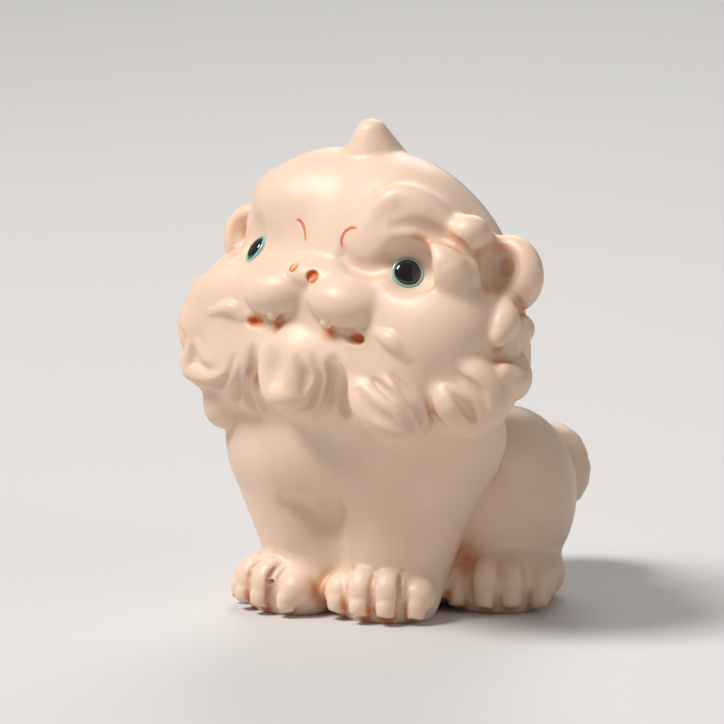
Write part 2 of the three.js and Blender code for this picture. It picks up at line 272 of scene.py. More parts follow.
def carve_left_brow(head):
    """A soft wave over the eye that ends in a knob, with a leaf of hair below it."""
    ridge = [(5, -5.4, 9.2), (7.2, -5.4, 10.2), (9.6, -4.3, 10.7), (11.3, -3.2, 10.4)]
    head.join(2.2, Strand(ridge, [2.3, 2.8, 2.6, 1.7]))
    wave = [(38, 11.4), (45, 12.8), (54, 13.4), (62, 13), (69, 11.8)]
    lay_strands(head, 1.2, 0.7, (wave, [0.4, 1.3, 1.5, 1.3, 0.8]))
    root = [(13.2, -3.4, 9.4), (14.2, -1.2, 9)]
    head.join(1.4, Strand(root, [1.8, 1.6], 2))
    knob = lay(head, [(77, 10.6)], 0.3)[0]
    head.join(1.2, Ball(knob, (1.8, 2, 1.7)))
    leaf = [(11.6, -6.1, 8.6), (13.7, -5.9, 7), (15.2, -5.4, 4.8)]
    head.join(0.8, Strand(leaf, [1.5, 2.1, 1]))
    roll = [(13.8, -4.8, 7.2), (15.3, -3.2, 6.9), (16, -1.6, 7.4)]
    head.join(0.8, Strand(roll, [1.5, 1.5, 1.2]))
    valley = [(46, 11), (55, 11.2), (63, 10.6), (70, 9.6)]
    # The valley under the brow gets a little painted shade.
    cut_strands(head, 0.8, -0.2, (valley, [0.2, 0.7, 0.7, 0.2]), shade_tint=0.2)


def carve_right_brow(head):
    """The far brow, which lies flatter and leaves the eye in the open."""
    ridge = [(-5, -4.8, 10.4), (-7.4, -4.4, 11.5), (-9.8, -3, 11.6)]
    head.join(2, Strand(ridge, [1.9, 2.2, 1.9]))
    knob = [(-12.2, -1, 10), (-13.4, 0.6, 9.2)]
    head.join(0.8, Strand(knob, [0.9, 1], 2))


def carve_eye_hollows(head, sizes):
    """A soft hollow round each eye, with the eyeball's swell in it, and open sight past the nose."""
    for side in SIDES:
        facing = EYE_FACING[side]
        place = eye_place(sizes, side)
        turn = [math.degrees(a) for a in facing.to_track_quat("Z", "Y").to_euler("XYZ")]
        head.carve(1.3, Ball(place + 1.7 * facing, (2.7, 2.5, 2.1), turn))
        head.join(0.3, Ball(place - EYEBALL_SUNK * facing, (EYEBALL, EYEBALL, EYEBALL)))
    by_the_bridge = Ball((-6.6, -10.2, 8), (2.4, 2.2, 2))
    head.carve(1.5, by_the_bridge)


def carve_muzzle(head):
    head.join(2, Ball((0, -6.2, 3.4), (8.6, 4.4, 3.4)))
    nose = Ball((0, -8.4, 5.3), (4, 2.9, 1.7))
    head.join(0.8, nose)
    for side in SIDES:
        pad = Ball(on_side(side, (3.9, -8.6, 3.2)), (4.3, 3.9, 2.8), (0, 8 * side, 0))
        head.join(0.4, pad)
        pad_top = mirrored(side, [(2.6, -8.7, 4.4), (5, -8.3, 4), (7.6, -7.6, 2.8)])
        head.join(1.4, Strand(pad_top, [1.6, 1.8, 1.8], 4))
    # Nostrils and mouth corners get the full painted shade, up to the painted orange glow.
    for bearing, height, radius in NOSTRILS:
        nostril = lay(head, [(bearing, height)], 0.2)[0]
        head.carve(0.25, Ball(nostril, (radius, 1.1, radius), (-30, 0, 0)), shade_tint=1)
    for side in SIDES:
        corner = lay(head, [(side * 29, 0.1)], -0.05)[0]
        head.carve(0.6, Ball(corner, (1.5, 0.6, 0.42), (0, 8 * side, 30 * side)), shade_tint=1)
        fang = mirrored(side, [(3.3, -11.1, 1.4), (3.3, -11.7, 0.3)])
        head.join(0.25, Strand(fang, [0.7, 0.2], 2))


def carve_brow_marks(head):
    """The frown: a fine hook over each side of the bridge, and the fold under the left brow."""
    right_hook = [(-23, 10.2), (-20.6, 10.1), (-16, 9.5), (-11.5, 8.4)]
    left_hook = [(27, 10.3), (23, 10.2), (18.6, 9.7), (17, 8.8), (20, 7.8)]
    # The fine hooks get the full painted shade inside.
    cut_strands(
        head, 0.1, 0.04,
        (right_hook, [0.05, 0.12, 0.12, 0.05]),
        (left_hook, [0.05, 0.12, 0.12, 0.12, 0.05]), shade_tint=1)
    fold = [(20, 7.6), (27, 6.8), (37, 6.6), (44, 7.4)]
    cut_strands(head, 1.4, -0.2, (fold, [0.15, 0.45, 0.5, 0.3]), shade_tint=0)


def carve_ears(head):
    for side, place in EAR_PLACE.items():
        x, y, z = place
        turn = (0, 0, -4 * side)
        cup = Ball((x + 0.2 * side, y - 2.5, z + 0.9), (1.7, 1.9, 1.7), turn)
        head.join(0.8, Ball(place, (3.8, 2.1, 3.8), turn))
        # The inside of each cup gets half the painted shade.
        head.carve(1.4, cup, shade_tint=0.5)


def carve_beard(head):
    """The middle lock: a bulb with a scooped front, an upturned lip and fine hair on its left."""
    bulb = Ball((-0.8, -9.2, -4.3), (4.6, 3.6, 5))
    scoop = Ball((-2.4, -13.3, -3.7), (1.5, 1.5, 2.2), (0, -12, 0))
    head.join(0.7, bulb)
    head.carve(1.2, scoop)
    lip = [(-20, -2.6), (-17.5, -4.8), (-12, -6.5), (-3, -6.4), (4, -6.9)]
    lay_strands(head, 0.5, 0.6, (lip, [0.5, 1, 1.2, 1.05, 0.3]))
    cut_strands(
        head, 0.5, -0.2,
        ([(3, -2.4), (8, -4.2), (7, -5.8)], [0.2, 0.75, 0.3]),
        ([(11, -2.2), (15, -4.2), (11, -6.6), (5, -7.6)], [0.2, 0.65, 0.6, 0.2]),
        ([(18, -2.6), (20.6, -4.6), (17, -7.2), (10, -8.4)], [0.2, 0.65, 0.6, 0.2]))


def carve_side_hair(head):
    """Full cheeks of hair on both sides, with a longer lock on the right."""
    for side in SIDES:
        head.join(2.2, Ball(on_side(side, (9.4, -6.5, -5)), (4.8, 4, 4.5)))
        head.join(1.8, Ball(on_side(side, (15, -4, -4.6)), (4, 3.8, 4.4)))
    head.join(1.6, Ball((-15.2, -5.8, -2.2), (3.4, 3.6, 3.4)))
    head.join(0.8, Ball((-14.2, -6.4, -5.9), (2.9, 3, 2.8)))
    long_lock = [(-11, -5, -6), (-13, -5.6, -9.6), (-13.4, -5.4, -10.8)]
    head.join(1, Strand(long_lock, [3, 2.6, 1.4]))
    beside_the_beard = (
        ([(21, -2.4), (25, -4.8), (27, -7.6)], [0.3, 1, 0.8]),
        ([(-27, -2.8), (-25.5, -5), (-22, -7.8)], [0.3, 0.9, 0.8]))
    cut_strands(head, 1, 0, *beside_the_beard)


def carve_left_locks(head):
    """A drop of hair under the cheek, a small leaf behind it and a roll round them, all grooved."""
    lay_strands(
        head, 0.5, 0.8,
        ([(32, -4), (40, -6), (50, -7.4), (57.5, -8.4)], [0.8, 2.3, 2.6, 0.9]),
        ([(43, -3.4), (49, -5), (54, -6.6), (58, -8.2)], [0.6, 1.8, 2, 0.9]),
        ([(60.5, -3.8), (65.5, -5.4), (71, -7.6)], [0.6, 1.9, 1.1]),
        ([(67, -1), (72, -3), (75.5, -5.4), (74, -8)], [0.6, 2, 2.2, 1.1]))
    # The grooves in the locks get painted shade inside.
    cut_strands(
        head, 0.5, -0.1,
        ([(33, -4.6), (38.3, -6.1), (44.4, -7.2), (49, -8.2)], [0.2, 0.6, 0.6, 0.2]),
        ([(39.5, -3.6), (46, -5), (50.4, -6.5), (53.2, -8.2)], [0.2, 0.65, 0.65, 0.2]),
        ([(46, -3), (51.6, -4.7), (54.8, -6.2), (56.7, -7.8)], [0.2, 0.6, 0.6, 0.2]),
        ([(62, -3.8), (66, -5.4), (69.6, -7)], [0.1, 0.5, 0.2]),
        ([(65, -2.4), (68.6, -3.9), (71.4, -5.8)], [0.2, 0.6, 0.2]), shade_tint=0.3)


def carve_right_locks(head):
    """A curl inside a wider curl, and a fan of grooves towards the beard."""
    lay_strands(
        head, 0.35, 0.6,
        ([(-60, -3.6), (-60.5, -6.2), (-52, -6.6), (-43, -6), (-39.5, -4.2)], [0.8, 1.2, 1.2, 1, 0.3]),
        ([(-57, -3.2), (-53, -4.6), (-47.5, -4.6)], [0.6, 1, 0.4]))
    cut_strands(
        head, 0.5, -0.2,
        ([(-58, -7.6), (-50, -7.6), (-40, -6.4), (-36, -3.8)], [0.4, 0.7, 0.75, 0.2]),
        ([(-46, -8.6), (-38, -7), (-33.5, -4.8)], [0.5, 0.65, 0.2]),
        ([(-41.6, -9.2), (-35, -7.2), (-30.4, -5)], [0.5, 0.65, 0.2]),
        ([(-36, -9.2), (-31.6, -7.4), (-27.4, -5.4)], [0.4, 0.6, 0.2]),
        ([(-63, -2), (-60, -3.4), (-61, -4.6)], [0.2, 0.6, 0.2]))


def carve_curls(head):
    """Two knobs of hair below each ear and a rounded lock under them, which stand out on the left."""
    for side, depth in CURL_DEPTH.items():
        filling = lay(head, [(side * 85, -0.6)], 1.1)[0]
        head.join(1, Ball(filling, (2, 2, 2)))
        upper_knob = faced(side, [(85, 3.8), (82, 2.2), (78, 1)])
        lay_strands(head, 0.6, depth, (upper_knob, [0.9, 1.6, 1.1]))
        lower_knob = lay(head, [(side * 90, 1.2)], depth)[0]
        head.join(0.6, Ball(lower_knob, (1.6, 1.8, 1.6)))
        lock = faced(side, [(78, -2.4), (82, -3.4), (86, -3.2), (90, -2)])
        lay_strands(head, 0.6, depth, (lock, [1, 1.9, 1.9, 0.9]))


def carve_cheek_tufts(head):
    """A leaf at the left mouth corner and a small ripple at the right one."""
    leaf = [(40.5, 0.9), (46, 0.3), (51.5, -1.2)]
    ripple = [(-38, 0.2), (-43, 0.9), (-50, 0.2)]
    lay_strands(head, 0.3, 0.3, (leaf, [0.4, 0.95, 0.35]), (ripple, [0.5, 0.8, 0.4]))


def carve_back_locks(head):
    """Broad plain locks round the back of the head."""
    for bearing in BACK_BEARINGS:
        lock = [(bearing, 4), (bearing, -3.6), (bearing, -8.4)]
        lay_strands(head, 0.9, 1.5, (lock, [1, 2.6, 1.6]))


# Body masses, in the part's frame

FRONT_PAWS = ((3, -7.4, 10), (-7.8, -8.1, -27))
HIND_PAWS = ((11, 2, 25), (-9.4, 2.6, -14))
TOES_SPAN = 0.94
TOE_REACH = 5.4
TOE_REACH_LOSS = 0.09
TOE_SLOPE = 0.32


def carve_torso(body, sizes):
    chest = Ball((-0.4, -5, 18.4), (sizes.chest_width / 2, 9.4, 9.4))
    back = Ball((0, 5, 12.3), (10.5, 13.5, 9.4))
    seat = Ball((0, 3, 4), (8, 11, 6))
    body.join(1, chest)
    body.join(3, back)
    body.join(2, seat)
    for side in SIDES:
        haunch = Ball(on_side(side, (8.4, 8.2, 10)), (7, 9.6, 9.4))
        shank = Ball(on_side(side, (11.4, 5, 2.6)), (4.4, 7.6, 3.4))
        body.join(0.5, haunch)
        body.join(1, shank)


def carve_front_legs(body):
    """Both front legs, the belly between them and the soft fold where they meet."""
    body.join(2, Strand([(5.4, -5.2, 17), (2.8, -4.9, 4)], [7, 5.2], 2))
    body.join(2, Strand([(-7.2, -5.2, 16), (-6.1, -6, 4)], [7.8, 4], 2))
    belly = Ball((-1.4, -6.8, 7.6), (4.6, 3.5, 7))
    body.join(1.5, belly)
    long_fold = [(-24, 11.4), (-19, 10.8), (-14, 9.4), (-9.5, 7), (-7.5, 4.5)]
    short_fold = [(-1, 12.6), (-5.5, 11.2), (-10, 9)]
    cut_strands(
        body, 1.6, -0.3, (long_fold, [0.2, 0.8, 1, 1, 0.8]), (short_fold, [0.2, 0.8, 0.8]), shade_tint=0)


def carve_paw(body, sizes, place, heading):
    """A low mound that ends in broad toes with narrow grooves between them, each with a nail."""
    turn = math.radians(heading)
    half = sizes.paw_width / 2
    pitch = TOES_SPAN * sizes.paw_width / sizes.toes

    def spot(across, forward, up):
        return (place[0] + across * math.cos(turn) + forward * math.sin(turn),
                place[1] + across * math.sin(turn) - forward * math.cos(turn), up)

    def reach(across):
        return TOE_REACH - TOE_REACH_LOSS * across * across

    body.join(1, Ball(spot(0, -0.2, 2.2), (0.95 * half, 4.2, 4.2), (0, 0, heading)))
    toe_middles = [(i - (sizes.toes - 1) / 2) * pitch for i in range(sizes.toes)]
    for across in toe_middles:
        front = reach(across)
        slope = TOE_SLOPE * abs(across)
        toe = [spot(across * 0.85, 0.8, 4.6 - slope), spot(across * 0.97, front - 2.3, 4.1 - slope),
               spot(across, front - 1.75, 2.5)]
        body.join(0.4, Strand(toe, [1.3, 1.8, 1.5], 8))
        nail = [spot(across, front - 1.05, 1.9), spot(across, front - 0.85, 0.7)]
        body.join(0.12, Strand(nail, [1.1, 0.85], 1))
    for across in [middle + pitch / 2 for middle in toe_middles[:-1]]:
        front = reach(across)
        groove = [spot(across * 0.92, front - 2.2, 5.2), spot(across * 0.97, front - 0.9, 4.2),
                  spot(across, front - 0.7, 2.4), spot(across, front - 0.7, 0.4)]
        # The grooves between toes get painted shade inside.
        body.carve(0.35, Strand(groove, [0.15, 0.3, 0.34, 0.4], 6), shade_tint=0.45)


def carve_tail(body):
    """A tail that sweeps up to the left and curls over, with three strokes of hair."""
    sweep = [(0.5, 18.2, 6.5), (4, 19.6, 11.5), (8.6, 18.6, 13.1), (11.2, 17.4, 11.6), (12.2, 16.8, 9.4)]
    body.join(0.8, Strand(sweep, [2, 2.8, 3.2, 2.6, 1.1], 12))
    strokes = (
        [(150, 14.4), (146, 13), (143, 10.6)],
        [(156, 15.6), (152, 14.4), (148, 11)],
        [(164, 15.4), (160, 13.4), (157, 10.6)])
    cut_strands(body, 0.4, 0, *((stroke, [0.1, 0.4, 0.1]) for stroke in strokes))


class Cub:
    """The whole carving: the turned head and the body, which flow into each other at the neck."""

    NECK_BLEND = 0.8
    HEAD_BOTTOM = 13
    BODY_TOP = 30

    def __init__(self, sizes):
        self.head = Carving()
        carve_skull(self.head, sizes)
        carve_left_brow(self.head)
        carve_right_brow(self.head)
        carve_eye_hollows(self.head, sizes)
        carve_muzzle(self.head)
        carve_brow_marks(self.head)
        carve_ears(self.head)
        carve_side_hair(self.head)
        carve_left_locks(self.head)
        carve_right_locks(self.head)
        carve_beard(self.head)
        carve_curls(self.head)
        carve_cheek_tufts(self.head)
        carve_back_locks(self.head)
        self.body = Carving()
        carve_torso(self.body, sizes)
        carve_front_legs(self.body)
        for x, y, heading in FRONT_PAWS + HIND_PAWS:
            carve_paw(self.body, sizes, (x, y), heading)
        carve_tail(self.body)
        self.to_world = head_frame(sizes)
        self.turn = np.array(self.to_world.to_3x3())
        self.centre = np.array(self.to_world.translation)

    def from_head(self, points):
        """Points of the part's frame in the head's own frame."""
        return (points - self.centre) @ self.turn

    def distance(self, points):
        on_head = np.full(len(points), FAR)
        on_body = on_head.copy()
        high = points[:, 2] > self.HEAD_BOTTOM
        low = points[:, 2] < self.BODY_TOP
        on_head[high] = self.head.distance(self.from_head(points[high]))
        on_body[low] = self.body.distance(points[low])
        return blend(on_head, on_body, self.NECK_BLEND)

    def painted_cut_shade(self, points):
        return np.maximum(self.head.painted_cut_shade(self.from_head(points)), self.body.painted_cut_shade(points))

    def blobs(self):
        return [self.to_world @ blob for blob in self.head.blobs()] + self.body.blobs()

    def hollows(self):
        return [self.to_world @ blob for blob in self.head.hollows()]


def head_frame(sizes):
    turn = Matrix.Rotation(-sizes.head_turn, 4, "Z") @ Matrix.Rotation(sizes.head_tilt, 4, "Y")
    return Matrix.Translation(sizes.head_centre) @ turn


# Skin: blobs of clay, fused by a voxel remesh and drawn onto the carved surface

SLOPE_PROBE = 0.05
LEAST_STEEPNESS = 0.25
LONGEST_MOVE = 0.6
# Lifts off the surface and their shares, in millimetres, for the painted shade in creases and recesses.
HOLLOW_SHADE_PROBES = ((0.5, 0.35), (1.2, 0.35), (2.4, 0.3))
SKIN_STEPS = (2, 1.5, 1)
FACE_BACK = 2.5
FACE_TOP = 13
HORN_FOOT = 16
FROWN_HALF_WIDTH = 5.2
FROWN_BACK = -6
FROWN_HEIGHT = 7.4
FROWN_HALF_HEIGHT = 3.2


def surface_slope(carving, points):
    """The distance at points and the direction in which it grows, from four close samples."""
    corners = np.array([(1, 1, 1), (1, -1, -1), (-1, 1, -1), (-1, -1, 1)]) * SLOPE_PROBE
    samples = [carving.distance(points + corner) for corner in corners]
    pull = sum(s[:, None] * corner for s, corner in zip(samples, corners))
    return sum(samples) / 4, pull / (4 * SLOPE_PROBE * SLOPE_PROBE)


def draw_onto(carving, points, rounds):
    """Moves points along the slope until they lie on the carved surface."""
    for _ in range(rounds):
        distance, slope = surface_slope(carving, points)
        steepness = np.maximum((slope ** 2).sum(axis=1), LEAST_STEEPNESS)
        move = np.clip(distance / steepness, -LONGEST_MOVE, LONGEST_MOVE)
        points = points - move[:, None] * slope
    return points


def read_points(mesh):
    points = np.empty(len(mesh.vertices) * 3, np.float64)
    mesh.vertices.foreach_get("co", points)
    return points.reshape(-1, 3)


def write_points(mesh, points):
    mesh.vertices.foreach_set("co", points.ravel())
    mesh.update()


def piece_from(bm, name):
    """A new object in the scene, made from a bmesh that is done with."""
    mesh = bpy.data.meshes.new(name)
    bm.to_mesh(mesh)
    bm.free()
    piece = bpy.data.objects.new(name, mesh)
    bpy.context.scene.collection.objects.link(piece)
    return piece


def clay_balls(name, blobs):
    """One ball of clay for each place, in millimetres."""
    bm = bmesh.new()
    for blob in blobs:
        bmesh.ops.create_icosphere(bm, subdivisions=2, radius=1, matrix=blob)
    return piece_from(bm, name)


def apply_modifiers(piece):
    """Replaces the mesh by what its modifiers make of it."""
    evaluated = piece.evaluated_get(bpy.context.evaluated_depsgraph_get())
    mesh = bpy.data.meshes.new_from_object(evaluated)
    piece.modifiers.clear()
    old = piece.data
    piece.data = mesh
    bpy.data.meshes.remove(old)
    return mesh


def remesh(piece, size):
    """Fuses the clay into one skin of even faces."""
    modifier = piece.modifiers.new("Fuse", "REMESH")
    modifier.mode = "VOXEL"
    modifier.voxel_size = size
    modifier.use_smooth_shade = True
    return apply_modifiers(piece)


def hollow_out(piece, balls):
    """Cuts the given balls out of the clay and does away with them."""
    modifier = piece.modifiers.new("Hollow", "BOOLEAN")
    modifier.operation = "DIFFERENCE"
    modifier.solver = "EXACT"
    modifier.use_self = True
    modifier.object = balls
    apply_modifiers(piece)
    bpy.data.objects.remove(balls)


def relax(mesh, rounds):
    """Moves every point halfway towards its neighbours, a number of times."""
    bm = bmesh.new()
    bm.from_mesh(mesh)
    for _ in range(rounds):
        bmesh.ops.smooth_vert(
            bm, verts=bm.verts, factor=0.5, use_axis_x=True, use_axis_y=True, use_axis_z=True)
    bm.to_mesh(mesh)
    bm.free()


def refine(mesh, wanted):
    """Splits every face with all its corners in the wanted places."""
    bm = bmesh.new()
    bm.from_mesh(mesh)
    bm.verts.ensure_lookup_table()
    edges = [e for e in bm.edges if wanted[e.verts[0].index] and wanted[e.verts[1].index]]
    bmesh.ops.subdivide_edges(bm, edges=edges, cuts=1, use_grid_fill=True)
    bmesh.ops.triangulate(bm, faces=[f for f in bm.faces if len(f.verts) > 4])
    bm.to_mesh(mesh)
    bm.free()


def painted_shade_depth(carving, mesh):
    """Painted shade for each point: how far it lies in a recess, from 0 in the open to 1 in a deep
    crease, or inside a cut given painted shade.
    """
    points = read_points(mesh) / MM
    normals = np.empty(len(mesh.vertices) * 3, np.float32)
    mesh.vertices.foreach_get("normal", normals)
    normals = normals.reshape(-1, 3).astype(np.float64)
    painted_hollow_shade = np.zeros(len(points))
    for lift, share in HOLLOW_SHADE_PROBES:
        room = carving.distance(points + lift * normals)
        painted_hollow_shade += share * np.clip(1 - room / lift, 0, 1)
    return np.maximum(painted_hollow_shade, carving.painted_cut_shade(points))


def store_on_points(mesh, name, values):
    attribute = mesh.attributes.new(name, "FLOAT", "POINT")
    attribute.data.foreach_set("value", values.astype(np.float32))


def settle(cub, mesh, rounds):
    """Draws the mesh onto the carving and gives back where its points are now."""
    points = draw_onto(cub, read_points(mesh), rounds)
    write_points(mesh, points)
    return points


def on_face_or_horn(points):
    """Which points of the head's own frame lie in the face or on the horn."""
    _, y, z = points.T
    return (y < FACE_BACK) & (z < FACE_TOP) | (z > HORN_FOOT)


def on_frown(points):
    """Which points of the head's own frame lie round the bridge of the nose."""
    x, y, z = points.T
    level = np.abs(z - FROWN_HEIGHT) < FROWN_HALF_HEIGHT
    return (np.abs(x) < FROWN_HALF_WIDTH) & (y < FROWN_BACK) & level


def sculpt_cub(sizes):
    """The whole figure as one fine skin, with the painted shade of its recesses and cuts stored for the
    material.
    """
    cub = Cub(sizes)
    coarse, middle, fine = (steps * sizes.skin_step / MM for steps in SKIN_STEPS)
    piece = clay_balls("carved_cub", cub.blobs())
    remesh(piece, coarse)
    hollow_out(piece, clay_balls("hollows", cub.hollows()))
    for size in (middle, fine):
        mesh = remesh(piece, size)
        settle(cub, mesh, 3)
    relax(mesh, 2)
    points = settle(cub, mesh, 2)
    refine(mesh, on_face_or_horn(cub.from_head(points)))
    settle(cub, mesh, 2)
    relax(mesh, 1)
    points = settle(cub, mesh, 2)
    refine(mesh, on_frown(cub.from_head(points)))
    points = settle(cub, mesh, 3)
    points[:, 2] = np.maximum(points[:, 2], 0)
    write_points(mesh, points * MM)
    mesh.shade_smooth()
    store_on_points(mesh, "painted_hollow_shade", painted_shade_depth(cub, mesh))
    return piece


# Eyes: turned pieces, spun about the eye's own axis

EYE_SIDES = 64
ROUND_STEPS = 10
RING_ROOT = -0.9
RING_FLOOR = -0.12
DOME_CLEARANCE = 0.02
DOME_SKIRT = 0.1
DOME_RISE = 0.38


def turned_piece(name, profile, place, axis):
    """A closed body spun from (radius, height) pairs in millimetres."""
    bm = bmesh.new()
    verts = [bm.verts.new((r, 0, h)) for r, h in profile]
    edges = [bm.edges.new(pair) for pair in zip(verts, verts[1:])]
    bmesh.ops.spin(bm, geom=verts + edges, cent=(0, 0, 0), axis=(0, 0, 1), angle=math.tau,
                   steps=EYE_SIDES, use_merge=True)
    bmesh.ops.remove_doubles(bm, verts=bm.verts, dist=1e-4)
    bmesh.ops.recalc_face_normals(bm, faces=bm.faces)
    turn = Vector((0, 0, 1)).rotation_difference(axis).to_matrix().to_4x4()
    to_socket = Matrix.Scale(MM, 4) @ Matrix.Translation(place) @ turn
    bmesh.ops.transform(bm, matrix=to_socket, verts=bm.verts)
    piece = piece_from(bm, name)
    piece.data.shade_smooth()
    return piece


def arc(centre, radii, start, end):
    """Profile points on an arc, with angles in degrees."""
    angles = [math.radians(start + (end - start) * i / ROUND_STEPS) for i in range(ROUND_STEPS + 1)]
    return [(centre[0] + radii[0] * math.cos(a), centre[1] + radii[1] * math.sin(a)) for a in angles]


def ring_profile(outer, inner):
    """From the root in the socket, over a rounded rim, to the floor under the dome."""
    rim = (outer - inner) / 2
    rounded = arc((outer - rim, 0), (rim, rim), 0, 180)
    return [(0, RING_ROOT), (outer, RING_ROOT), *rounded, (inner, RING_FLOOR), (0, RING_FLOOR)]


def dome_profile(inner):
    radius = inner - DOME_CLEARANCE
    return [(0, 0), (radius, 0), *arc((0, DOME_SKIRT), (radius, DOME_RISE), 0, 90)]


# Materials

def new_material(name, roughness):
    """A material with its shader, and the node tree and shader to build on."""
    material = bpy.data.materials.new(name)
    material.use_nodes = True
    shader = material.node_tree.nodes["Principled BSDF"]
    shader.inputs["Roughness"].default_value = roughness
    return material, material.node_tree, shader


def add_node(tree, kind, **inputs):
    node = tree.nodes.new(kind)
    for name, value in inputs.items():
        node.inputs[name].default_value = value
    return node


def ramp(tree, source, stops):
    """A colour ramp through (position, colour) stops."""
    node = tree.nodes.new("ShaderNodeValToRGB")
    tree.links.new(source, node.inputs["Fac"])
    elements = node.color_ramp.elements
    while len(elements) < len(stops):
        elements.new(0.5)
    for element, (position, colour) in zip(elements, stops):
        element.position = position
        element.color = (*colour, 1)
    return node.outputs["Color"]


def object_noise(tree, scale, detail, roughness=0.5):
    """Noise in object space, with scale in cycles per metre."""
    place = tree.nodes.new("ShaderNodeTexCoord")
    noise = add_node(tree, "ShaderNodeTexNoise", Scale=scale, Detail=detail, Roughness=roughness)
    tree.links.new(place.outputs["Object"], noise.inputs["Vector"])
    return noise.outputs["Fac"]


def multiply_colours(tree, first, second):
    node = tree.nodes.new("ShaderNodeMix")
    node.data_type = "RGBA"
    node.blend_type = "MULTIPLY"
    node.inputs["Factor"].default_value = 1
    colours = [socket for socket in node.inputs if socket.type == "RGBA"]
    for source, socket in zip((first, second), colours):
        tree.links.new(source, socket)
    return next(socket for socket in node.outputs if socket.type == "RGBA")


def resin_material(looks):
    """Satin ivory resin with painted shade in its folds and recesses and a painted orange glow in the
    deepest ones, faintly clouded, with a fine dry grain.
    """
    material, tree, shader = new_material("ivory_resin_satin", looks.resin_roughness)
    # Painted shade and glow: the stored crease amount turns the ivory darker and warmer in folds, and
    # orange-red in deep recesses where light would glow through the resin.
    painted_hollow_shade = tree.nodes.new("ShaderNodeAttribute")
    painted_hollow_shade.attribute_name = "painted_hollow_shade"
    tone = ramp(tree, painted_hollow_shade.outputs["Fac"], [
        (0.0, looks.ivory), (0.28, looks.ivory), (0.55, looks.painted_warm_shade), (0.85, looks.painted_deep_glow)])
    clouds = object_noise(tree, scale=160, detail=4)
    shade = ramp(tree, clouds, [(0.3, (0.94, 0.92, 0.9)), (0.7, (1, 1, 1))])
    tree.links.new(multiply_colours(tree, tone, shade), shader.inputs["Base Color"])
    shader.inputs["Subsurface Weight"].default_value = 0.35
    shader.inputs["Subsurface Radius"].default_value = (1, 0.45, 0.22)
    shader.inputs["Subsurface Scale"].default_value = 1.6 * MM
    shader.inputs["IOR"].default_value = 1.46
    grain = object_noise(tree, scale=5200, detail=3, roughness=0.6)
    bump = add_node(tree, "ShaderNodeBump", Strength=0.12, Distance=0.04 * MM)
    tree.links.new(grain, bump.inputs["Height"])
    tree.links.new(bump.outputs["Normal"], shader.inputs["Normal"])
    return material


def enamel_material(looks):
    """Glossy turquoise enamel, slightly uneven in depth."""
    material, tree, shader = new_material("turquoise_enamel", roughness=0.16)
    deeper = [c * 0.8 for c in looks.turquoise]
    noise = object_noise(tree, scale=900, detail=3)
    tone = ramp(tree, noise, [(0.3, deeper), (0.7, looks.turquoise)])
    tree.links.new(tone, shader.inputs["Base Color"])
    shader.inputs["Coat Weight"].default_value = 0.6
    return material


def pupil_material():
    """Black stone with a high polish."""
    material, tree, shader = new_material("black_polish", roughness=0.06)
    noise = object_noise(tree, scale=700, detail=2)
    tone = ramp(tree, noise, [(0.3, (0.004, 0.004, 0.006)), (0.8, (0.012, 0.013, 0.016))])
    tree.links.new(tone, shader.inputs["Base Color"])
    shader.inputs["Coat Weight"].default_value = 0.8
    return material


def floor_material():
    material, tree, shader = new_material("pale_floor", roughness=0.6)
    noise = object_noise(tree, scale=3, detail=2)
    tone = ramp(tree, noise, [(0.2, (0.6, 0.59, 0.58)), (0.8, (0.63, 0.62, 0.61))])
    tree.links.new(tone, shader.inputs["Base Color"])
    return material


def give_material(piece, material):
    piece.data.materials.clear()
    piece.data.materials.append(material)


# What a user can change

class CubSizes(PropertyGroup):
    """Sizes of the carving. Lengths that pose the masses are in millimetres."""

    head_centre: FloatVectorProperty(
        name="Head centre", description="Middle of the head, in millimetres",
        default=(0.9, -7, 30), size=3)
    head_turn: FloatProperty(
        name="Head turn", description="Turn of the head to its right",
        default=math.radians(9), subtype="ANGLE")
    head_tilt: FloatProperty(
        name="Head tilt", description="Tilt of the head to its left",
        default=math.radians(2.5), subtype="ANGLE")
    horn_top: FloatProperty(
        name="Horn top", description="Height of the horn over the head's middle, in millimetres",
        default=20)
    chest_width: FloatProperty(
        name="Chest width", description="Width of the chest, in millimetres", default=29.8)
    paw_width: FloatProperty(
        name="Paw width", description="Width of a front paw, in millimetres", default=11.6)
    toes: IntProperty(
        name="Toes", description="Toes on each paw", default=4, min=2, max=6)
    eye_spacing: FloatProperty(
        name="Eye spacing", description="From one pupil to the other, in millimetres", default=18.1)
    ring_radius: FloatProperty(
        name="Eye ring radius", description="Outer radius of the turquoise ring, in millimetres",
        default=1.57)
    pupil_radius: FloatProperty(
        name="Pupil radius", description="Radius of the black dome, in millimetres", default=1.24)
    skin_step: FloatProperty(
        name="Skin step", description="Size of the faces of the carved skin",
        default=0.00048, min=0.0002, unit="LENGTH", precision=5)


class CubLooks(PropertyGroup):
    """Colours and finish."""

    ivory: FloatVectorProperty(
        name="Ivory", description="Resin in the open", subtype="COLOR",
        default=(0.82, 0.62, 0.48), size=3)
    # Painted shade: the darker warm colour given to the resin in folds and recesses.
    painted_warm_shade: FloatVectorProperty(
        name="Warm shade", description="Resin in the folds", subtype="COLOR",
        default=(0.70, 0.42, 0.26), size=3)
    # Painted glow: the orange-red given to the deepest recesses, nostrils, mouth corners and brow marks,
    # where light would glow through the resin.
    painted_deep_glow: FloatVectorProperty(
        name="Deep glow", description="Resin in the deepest hollows", subtype="COLOR",
        default=(0.74, 0.21, 0.06), size=3)
    turquoise: FloatVectorProperty(
        name="Turquoise", description="Eye rings", subtype="COLOR",
        default=(0.32, 0.58, 0.50), size=3)
    resin_roughness: FloatProperty(
        name="Resin roughness", description="How dull the resin is", subtype="FACTOR",
        default=0.42, min=0, max=1)


